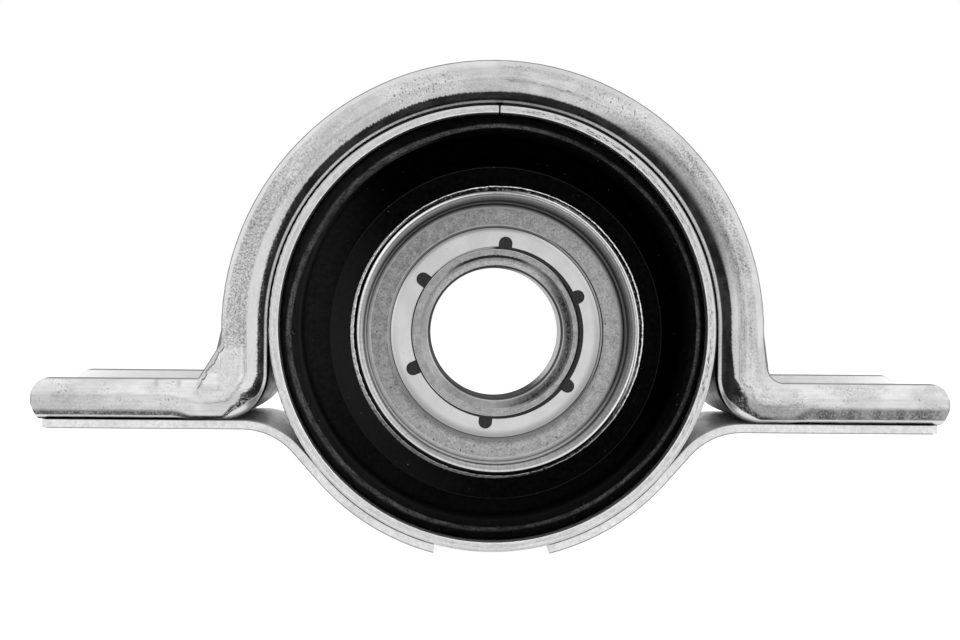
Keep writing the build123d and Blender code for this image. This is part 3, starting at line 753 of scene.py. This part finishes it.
# Drawn steel of the bearing sleeve: a painted highlight along its lip, and painted shade that darkens its
# mouth on the upper right
def sleeve_paint():
    p = Paint("sleeve_drawn")
    radius, angle = p.polar(SHAFT)
    lip_radius = p.polar((SLEEVE_LIP_SHIFT, SLEEVE_LIP_SHIFT))[0].over(radius - SLEEVE_LIP_SHIFT)
    turned = p.noise(1.0, 4.0, 0.6, where=(radius * 4.5, angle * 0.02, p.y * 4.0))
    across = p.noise(1.0, 3.0, 0.6, where=(angle * 1.2, radius * 0.3, p.y * 0.3))
    mottle = p.noise(0.8, 5.0, 0.6)
    tone = turned.smooth(0.3, 0.7, 0.4, 0.55) * mottle.smooth(0.3, 0.7, 0.88, 1.08)
    front = p.y.short_of(SLEEVE_FRONT + 1.8, 0.4)
    # Painted shade: the mouth and the bore wall are dark on the upper right and lighter grey elsewhere.
    to_upper_right = p.along(0.5, 0.87).smooth(-24.0, 12.0)
    dark_mouth = lip_radius.smooth(SLEEVE_IN_R, SLEEVE_LIP_R - 0.3, 0.045, 0.22)
    grey_mouth = lip_radius.smooth(SLEEVE_IN_R + 0.4, SLEEVE_LIP_R - 0.2, 0.2, 0.38)
    mouth = grey_mouth.toward(dark_mouth, to_upper_right) * turned.smooth(0.3, 0.7, 0.8, 1.18)
    mouth = mouth * across.smooth(0.35, 0.65, 0.88, 1.06)
    tone = tone.toward(mouth, front * radius.short_of(SLEEVE_LIP_R, 0.05))
    bore_wall = radius.short_of(SLEEVE_IN_R + 0.06, 0.04)
    wall = turned.smooth(0.3, 0.7, 0.5, 0.62).toward(0.1, to_upper_right)
    tone = tone.toward(wall, bore_wall)
    thin_line = lip_radius.inside(SLEEVE_LIP_R - 1.08, SLEEVE_LIP_R - 0.94, 0.05) * to_upper_right
    tone = tone.toward(0.3, thin_line * front * 0.6)
    # Painted highlight along the lip, on a circle shifted to the upper right and wider there.
    rim_wide = to_upper_right.smooth(0.0, 1.0, 0.38, 0.5)
    rim = lip_radius.short_of(SLEEVE_LIP_R, 0.07) * (lip_radius + rim_wide).past(SLEEVE_LIP_R, 0.07)
    lip_highlight = across.smooth(0.3, 0.6, 0.84, 1.0) * to_upper_right.smooth(0.0, 1.0, 0.62, 0.9)
    tone = tone.toward(lip_highlight, rim * p.y.short_of(SLEEVE_FRONT + 0.5, 0.1))
    # Painted shade in the gap outside the lip.
    outside = lip_radius.past(SLEEVE_LIP_R + 0.07, 0.05) * p.y.short_of(SLEEVE_FRONT + 4.0, 0.5)
    tone = tone.toward(0.008, outside * radius.past(SLEEVE_IN_R + 1.0, 0.1))
    dull = bore_wall * front.over(p.y.short_of(SLEEVE_FRONT + 6.0, 0.2))
    dull = dull.over(rim * radius.past(SLEEVE_LIP_R, 0.04) * front)
    return p.finish(tone, 0.34, 1.0 - dull, turned, 0.15, 0.05)


# Steel edge of the liner, dark at the gap, flecked along its torn border, and with a painted highlight
# beside the gap on the right
def liner_paint():
    p = Paint("liner_edge")
    radius, angle = p.polar(SHAFT)
    mottle = p.noise(1.6, 4.0, 0.7)
    crumbs = p.noise(3.6, 2.0, 0.6)
    bright = mottle.smooth(0.36, 0.62, 0.3, 0.66) * crumbs.smooth(0.34, 0.5, 0.55, 1.0)
    bright = bright * (p.z * -1.0).smooth(4.0, 22.0, 1.0, 0.28)
    dim = mottle.smooth(0.5, 0.66, 0.008, 0.16)
    whole = p.noise(0.05, 2.0, 0.5, where=(angle * 0.56, 3.0, 0.0))
    to_left = p.along(-0.9, -0.4).smooth(4.0, 20.0)
    tone = dim.toward(bright, to_left.over(whole.smooth(0.5, 0.6) * 0.25))
    tone = tone.toward(GAP_TONE, radius.short_of(LINER_IN_R + 0.16, 0.05))
    # Painted highlight beside the gap on the right and upper right, carrying on the sleeve's lip
    # highlight.
    rim_arc = angle.inside(-22.0, 78.0, 14.0)
    tone = tone.toward(0.8, radius.short_of(LINER_IN_R + 0.26, 0.06) * rim_arc)
    return p.finish(tone, 0.45, 1.0, mottle, 0.5, 0.12)


# Crumbs of the liner's torn border
def flash_paint():
    p = Paint("liner_flash")
    mottle = p.noise(1.8, 4.0, 0.7)
    crumbs = p.noise(4.0, 2.0, 0.6)
    tone = mottle.smooth(0.34, 0.6, 0.46, 0.92) * crumbs.smooth(0.34, 0.52, 0.5, 1.0)
    tone = tone * (p.z * -1.0).smooth(6.0, 26.0, 1.0, 0.4)
    return p.finish(tone, 0.4, 1.0, mottle, 0.4, 0.1)


# Ground bearing steel with fine tarnish, darker towards the upper left, with painted shade in its outer
# corner and beside the seal plate, and a painted highlight near its inner edge
def outer_race_paint():
    p = Paint("outer_race_ground")
    radius, angle = p.polar(SHAFT)
    mottle = p.noise(0.5, 5.0, 0.66)
    fine = p.noise(1.6, 5.0, 0.7)
    grit = p.noise(3.2, 3.0, 0.66)
    to_upper_left = p.along(-0.6, 0.5).smooth(-10.0, 20.0)
    tone = mottle.smooth(0.32, 0.68, 0.3, 0.38).toward(mottle.smooth(0.32, 0.68, 0.2, 0.3), to_upper_left)
    tone = tone * fine.smooth(0.35, 0.6, 0.8, 1.08) * grit.smooth(0.34, 0.6, 0.84, 1.06)
    front = p.y.size().past(RACE_HALF_WIDE - 1.5, 0.2)
    spots = p.noise(1.2, 2.0, 0.6).smooth(0.67, 0.72)
    tone = tone.toward(0.07, spots * 0.8)
    # Painted shade in the rounded outer corner, darker on the upper right.
    to_upper_right = p.along(0.5, 0.87).smooth(-18.0, 14.0)
    corner = radius.past(RACE_OUT_R - 1.05, 0.12) * front
    shade_right = radius.smooth(RACE_OUT_R - 0.9, RACE_OUT_R - 0.1, 0.46, 0.12)
    shade = (0.6 * mottle.smooth(0.3, 0.7, 0.88, 1.12)).toward(shade_right, to_upper_right)
    tone = tone.toward(shade, corner)
    # Painted highlight in a thin ring near the inner edge.
    tone = tone.toward(0.45, radius.inside(OUTER_LAND_R + 0.42, OUTER_LAND_R + 0.62, 0.08) * front * 0.7)
    # Painted shade in the groove beside the seal plate, lighter on the lower left and the right; a painted
    # dark line beside it on the right; and painted shade fading outwards from it, most at the bottom.
    to_lower_left = p.along(-0.6, -0.8).smooth(-8.0, 14.0)
    land_line = radius.short_of(OUTER_LAND_R + 0.36, 0.05) * front
    on_right = angle.inside(-28.0, 58.0, 10.0)
    land_tone = to_lower_left.smooth(0.0, 1.0, 0.12, 0.34).toward(0.4, on_right)
    tone = tone.toward(land_tone, land_line)
    right_line = radius.inside(OUTER_LAND_R + 0.32, OUTER_LAND_R + 0.6, 0.05) * on_right * front
    tone = tone.toward(0.015, right_line)
    soft_line = radius.smooth(OUTER_LAND_R + 0.3, OUTER_LAND_R + 2.2, 0.45, 1.0)
    tone = tone * soft_line.toward(1.0, p.z.smooth(-18.0, 2.0, 0.0, 0.85))
    return p.finish(tone, 0.42, 1.0 - corner.over(land_line), grit, 0.3, 0.05)


# Ground inner race: painted reflections on its mouth's chamfer, bright at the top and dark on the right,
# and the bore lit there
def mouth_chamfer(p, radius, mottle, speckle):
    """Tone of the bore's large chamfer, with painted reflections: bright at the top, dark and mottled on
    the right.
    """
    to_top = p.z.smooth(-2.0, 13.0)
    to_right = p.along(0.94, -0.3).smooth(3.0, 12.5)
    bright = speckle.smooth(0.34, 0.6, 0.3, 0.52) * radius.smooth(BORE_R + 0.9, BORE_MOUTH_R, 1.0, 0.5)
    # Painted dark reflection on the right, lighter towards the bore.
    dark_reflection = p.noise(1.3, 5.0, 0.75, warp=0.5).smooth(0.38, 0.66, 0.015, 0.1)
    wear_and_reflection = dark_reflection.toward(0.2, radius.smooth(BORE_R + 0.2, BORE_R + 1.6, 1.0, 0.0) * 0.8)
    return mottle.smooth(0.3, 0.7, 0.2, 0.26).toward(bright, to_top).toward(wear_and_reflection, to_right)


def inner_race_paint():
    p = Paint("inner_race_ground")
    radius, angle = p.polar(SHAFT)
    mottle = p.noise(0.8, 5.0, 0.66)
    grit = p.noise(3.2, 3.0, 0.66)
    speckle = p.noise(1.9, 4.0, 0.7)
    front = p.y.size().past(RACE_HALF_WIDE - 1.8, 0.2)
    tone = mottle.smooth(0.32, 0.68, 0.25, 0.35) * grit.smooth(0.32, 0.6, 0.84, 1.08)
    on_chamfer = radius.inside(BORE_R + 0.06, BORE_MOUTH_R, 0.05)
    tone = tone.toward(mouth_chamfer(p, radius, mottle, speckle), on_chamfer)
    line_wobble = (speckle - 0.5) * 0.5
    # Painted shade in a dark line along the chamfer's outer edge, at the top and the right.
    mouth_line = (radius + line_wobble).inside(BORE_MOUTH_R - 0.12, BORE_MOUTH_R + 0.48, 0.08) * front
    dark_arc = angle.inside(62.0, 124.0, 12.0).over(angle.inside(-70.0, 60.0, 14.0) * 0.7)
    tone = tone.toward(0.012, mouth_line * dark_arc * 0.97)
    # A painted highlight in a thin ring on the chamfer near the bore, and painted shade at the bore's
    # edge.
    tone = tone.toward(0.4, radius.inside(BORE_R + 0.48, BORE_R + 0.7, 0.09) * front * 0.6)
    tone = tone.toward(0.045, radius.short_of(BORE_R + 0.42, 0.08) * front)
    # Painted light: a lit crescent on the bore wall on the right, a little way in.
    wall = radius.short_of(BORE_R + 0.03, 0.03)
    lit_crescent = angle.inside(-46.0, 72.0, 14.0) * p.y.past(-5.6, 0.5)
    wall_tone = p.noise(0.6, 3.0).smooth(0.3, 0.7, 0.028, 0.05).toward(0.85, lit_crescent)
    tone = tone.toward(wall_tone, wall)
    land_edge = radius.past(INNER_LAND_R - 0.26, 0.05) * front
    lit = angle.size().past(42.0, 12.0)
    lit = lit * (1.0 - radius.past(INNER_LAND_R - 0.12, 0.03) * angle.size().past(148.0, 10.0))
    tone = tone.toward(lit.smooth(0.0, 1.0, 0.03, 0.65), land_edge)
    dull = wall.over(land_edge * lit)
    return p.finish(tone, wall.smooth(0.0, 1.0, 0.4, 1.0), 1.0 - dull, grit, 0.25, 0.05)


# Smooth satin sheet of the seal plates, with painted shade beside the rim below and a little at the top,
# and a painted highlight on the rim at the sides
def seal_paint():
    p = Paint("seal_sheet")
    radius, angle = p.polar(SHAFT)
    cloud = p.noise(0.18, 3.0)
    fine = p.noise(3.0, 3.0)
    tone = cloud.smooth(0.3, 0.7, 0.51, 0.57) * fine.smooth(0.3, 0.7, 0.98, 1.02)
    # Painted shade beside the rim, strongest below.
    rim_shade = radius.smooth(PLATE_RIM_R - 2.0, PLATE_RIM_R - 0.3)
    to_lower = p.along(0.2, -0.98).smooth(-12.0, 16.0, 0.1, 1.0)
    tone = tone.toward(0.28, rim_shade * to_lower * 0.9)
    # Painted shade beside the rim at the top.
    at_top = angle.inside(70.0, 150.0, 14.0)
    tone = tone * radius.smooth(PLATE_RIM_R - 1.0, PLATE_RIM_R - 0.1, 1.0, 0.5).toward(1.0, 1.0 - at_top)
    # Painted highlight on the rim, away from the bottom and the top.
    rim = radius.inside(PLATE_RIM_R - 0.5, PLATE_RIM_R - 0.15, 0.1)
    tone = tone.toward(0.7, rim * (1.0 - to_lower.over(at_top)) * 0.5)
    specks = p.noise(1.6, 2.0, 0.6).smooth(0.68, 0.73)
    tone = tone.toward(0.2, specks * 0.7)
    tone = tone.toward(0.36, radius.past(PLATE_RIM_R - 0.07, 0.04))
    return p.finish(tone, 0.36, 1.0, fine, 0.08, 0.03)


# Polished balls
def ball_paint():
    p = Paint("ball_polished")
    return p.finish(p.noise(0.8, 3.0).smooth(0.3, 0.7, 0.68, 0.78), 0.08, 1.0)


# Pressed strip of the cage, and its rivets
def cage_paint():
    p = Paint("cage_strip")
    mottle = p.noise(1.3, 5.0, 0.6)
    return p.finish(mottle.smooth(0.3, 0.7, 0.32, 0.46), 0.34, 1.0, mottle, 0.25, 0.06)


# Rubber of the seals, lighter grey beside the inner race between the two upper left notches
def seal_rubber_paint():
    p = Paint("seal_rubber")
    mottle = p.noise(1.6, 4.0, 0.6)
    p.bsdf.inputs["Specular IOR Level"].default_value = 0.3
    radius, angle = p.polar(SHAFT)
    lighter_patches = angle.inside(92.0, 135.0, 2.5) * radius.short_of(INNER_LAND_R + 0.85, 0.1)
    tone = mottle.smooth(0.3, 0.7, 0.008, 0.022).toward(0.42, lighter_patches)
    return p.finish(tone, 0.6, 0.0, mottle, 0.4, 0.08)


# Moulded rubber: near black, with a painted highlight along the crest, painted sheen towards the left and
# the bottom, and a painted highlight line on the collar
def cushion_paint():
    p = Paint("cushion_rubber")
    p.bsdf.inputs["Specular IOR Level"].default_value = 0.0
    radius, angle = p.polar(RING_AXIS)
    core_radius = p.polar(SHAFT)[0]
    length = angle * math.radians(CUSHION_IN_R)
    mottle = p.noise(0.9, 5.0, 0.6)
    tone = mottle.smooth(0.3, 0.7, 0.0015, 0.004)
    # Painted sheen: the collar and the valley are lighter towards the left, the valley also towards the
    # bottom, more so further in.
    to_left = p.along(-0.94, -0.34).smooth(10.0, 38.0) * p.z.smooth(-30.0, -6.0, 0.6, 1.0)
    to_bottom = (p.z * -1.0).smooth(10.0, 40.0) * 0.35
    front = p.y.short_of(COLLAR_FRONT + 0.5, 0.5)
    on_collar = core_radius.short_of(COLLAR_OUT_R + 0.1, 0.1)
    in_valley = (1.0 - on_collar) * radius.short_of(CUSHION_IN_R + 0.2, 0.4)
    tone = tone + to_left * on_collar * front * 0.013
    deep = p.y.smooth(-16.0, -6.0, 0.3, 1.2)
    tone = tone + to_left.over(to_bottom) * in_valley * deep * mottle.smooth(0.3, 0.7, 0.035, 0.05)
    # Painted highlight along the crest, mottled, dimmer on the upper right and the lower half, and painted
    # sheen on the shoulder towards the left.
    painted_sheen = p.noise(1.0, 4.0, 0.65, where=(radius * 1.4, length * 0.3, 0.0))
    painted_sheen = painted_sheen.smooth(0.3, 0.66, 0.35, 1.05)
    lighter_patches = p.noise(2.4, 4.0, 0.7).smooth(0.36, 0.6, 0.4, 1.2)
    slow = p.noise(0.06, 2.0, 0.5, where=(length, 30.0, 0.0)).smooth(0.35, 0.65, 0.7, 1.15)
    outward = p.x.smooth(26.0, 45.0, 0.0, 0.8) - (p.z - p.x).smooth(44.0, 62.0, 0.0, 0.8)
    outward = outward + p.x.smooth(-45.0, -38.0, 0.35, 0.0)
    inner_side = outward + CUSHION_IN_R + 0.72
    outer_side = inner_side + p.x.smooth(-40.0, 10.0, 1.1, 0.72)
    crest = (radius - inner_side).past(0.0, 0.16) * (radius - outer_side).short_of(0.0, 0.3)
    dim = (angle.inside(25.0, 70.0, 14.0) * 0.45).over(angle.inside(-155.0, -20.0, 18.0) * 0.4)
    tone = tone.toward(0.1 * painted_sheen * lighter_patches * slow * (1.0 - dim), crest * front)
    shoulder = radius.inside(CUSHION_IN_R + 0.2, CUSHION_IN_R + 3.0, 0.6)
    tone = tone + 0.012 * shoulder * front * painted_sheen * p.x.smooth(-46.0, -10.0, 1.0, 0.12)
    # Painted highlight in a fine line along the collar's outer edge.
    line = core_radius.inside(COLLAR_OUT_R - 0.32, COLLAR_OUT_R - 0.14, 0.06)
    tone = tone.toward(0.026, line * front * 0.85)
    specks = p.noise(1.5, 2.0, 0.6).smooth(0.735, 0.76)
    tone = tone.toward(0.2, specks * 0.8)
    return p.finish(tone, mottle.smooth(0.3, 0.7, 0.6, 0.75), 0.0, mottle, 0.3, 0.1)


# Torn border of the liner: crumbs of steel in broken runs, and one flap curled inward
def add_tube(mesh, loops):
    """Adds a closed tube through loops of corners, given in millimetres, that follow each other."""
    before = None
    for corners in loops:
        loop = [mesh.verts.new(Vector(corner) * MM) for corner in corners]
        if before:
            for number in range(len(loop)):
                following = (number + 1) % len(loop)
                mesh.faces.new((before[number], before[following], loop[following], loop[number]))
        else:
            mesh.faces.new(loop)
        before = loop
    mesh.faces.new(before)


def torn_width(angle):
    """How wide the torn border stands at an angle in radians, or nothing where it is broken off."""
    spot = Vector((math.cos(angle), math.sin(angle), 0.0))
    crumb = noise.noise(spot * 42.0) + 0.5 * noise.noise(spot * 110.0)
    wide = TORN_WIDE * (0.7 + 0.5 * crumb + 0.12 * abs(spot.x) + 0.08 * spot.y)
    wide = wide + 0.2 * max(0.0, spot.x) ** 3
    return wide if wide > TORN_LEAST else 0.0


def torn_loop(angle):
    """Corners of the torn border's section at an angle, its reach to the front varied with the crumbs."""
    spot = Vector((math.cos(angle), math.sin(angle), 1.7))
    wide = torn_width(angle)
    middle = TORN_R + 0.1 * noise.noise(spot * 26.0) + TORN_TO_RIGHT * spot.x + TORN_TO_TOP * spot.y
    reach = 0.16 + 0.14 * noise.noise(spot * 60.0)
    inner, outer = middle - wide / 2, middle + wide / 2
    front, back = COLLAR_FRONT - reach, LINER_FRONT - 0.05
    corners = ((inner, back), (inner + wide * 0.2, front), (outer - wide * 0.3, front), (outer, back))
    return [(radius * spot.x, y, radius * spot.y) for radius, y in corners]


def torn_border():
    mesh = bmesh.new()
    run = []
    for number in range(TORN_STEPS + 1):
        angle = 2 * math.pi * number / TORN_STEPS
        if number < TORN_STEPS and torn_width(angle):
            run.append(torn_loop(angle))
        else:
            if len(run) > 2:
                add_tube(mesh, run)
            run = []
    return mesh


def flap_loop(share):
    """A loop of the flap, at a share of its length from root to tip."""
    curl = FLAP_CURL * share
    middle = FLAP_ANGLE + FLAP_SWAY * math.sin(curl)
    radius = TORN_R + 0.25 - FLAP_CURL_R * (1 - math.cos(curl))
    front = LINER_FRONT - 0.25 - 0.35 * math.sin(curl * 0.6)
    wide = FLAP_ROOT_HALF - FLAP_NARROWS * share
    corners = []
    for across, deep in ((-wide, -1), (wide, -1), (wide, 1), (-wide, 1)):
        angle = middle + across / radius
        corners.append((radius * math.cos(angle), front + deep * FLAP_THICK, radius * math.sin(angle)))
    return corners


def curled_flap():
    mesh = bmesh.new()
    add_tube(mesh, [flap_loop(number / FLAP_LOOPS) for number in range(FLAP_LOOPS + 1)])
    return mesh


def add_piece(name, mesh, material):
    bmesh.ops.recalc_face_normals(mesh, faces=mesh.faces)
    data = bpy.data.meshes.new(name)
    mesh.to_mesh(data)
    mesh.free()
    data.materials.append(material)
    piece = bpy.data.objects.new(name, data)
    bpy.context.scene.collection.objects.link(piece)
    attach(piece, "bracket")


def add_torn_border():
    material = flash_paint()
    add_piece("liner_torn_border", torn_border(), material)
    add_piece("liner_flap", curled_flap(), material)


def paint_nodes():
    balls = [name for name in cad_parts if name.startswith("ball_")]
    finishes = [
        (strap_paint(), ["bracket_strap"]),
        (lower_paint(), ["lower_bracket_left", "lower_bracket_right"]),
        (ring_paint(), ["outer_ring"]),
        (sleeve_paint(), ["bearing_sleeve"]),
        (liner_paint(), ["cushion_liner"]),
        (outer_race_paint(), ["outer_race"]),
        (inner_race_paint(), ["inner_race"]),
        (seal_paint(), ["seal_plate_front", "seal_plate_rear"]),
        (ball_paint(), balls),
        (cage_paint(), ["cage_front", "cage_rear", "cage_rivets"]),
        (seal_rubber_paint(), ["seal_lip_front", "seal_lip_rear"]),
        (cushion_paint(), ["rubber_cushion"]),
    ]
    for material, names in finishes:
        for name in names:
            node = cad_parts[name]
            node.data.materials.clear()
            node.data.materials.append(material)


make_camera()
make_world()
make_floor(cad_box[0][2])
for lamp in LAMPS:
    make_lamp(*lamp)
paint_nodes()
add_torn_border()

bpy.context.scene.view_settings.view_transform = "Standard"
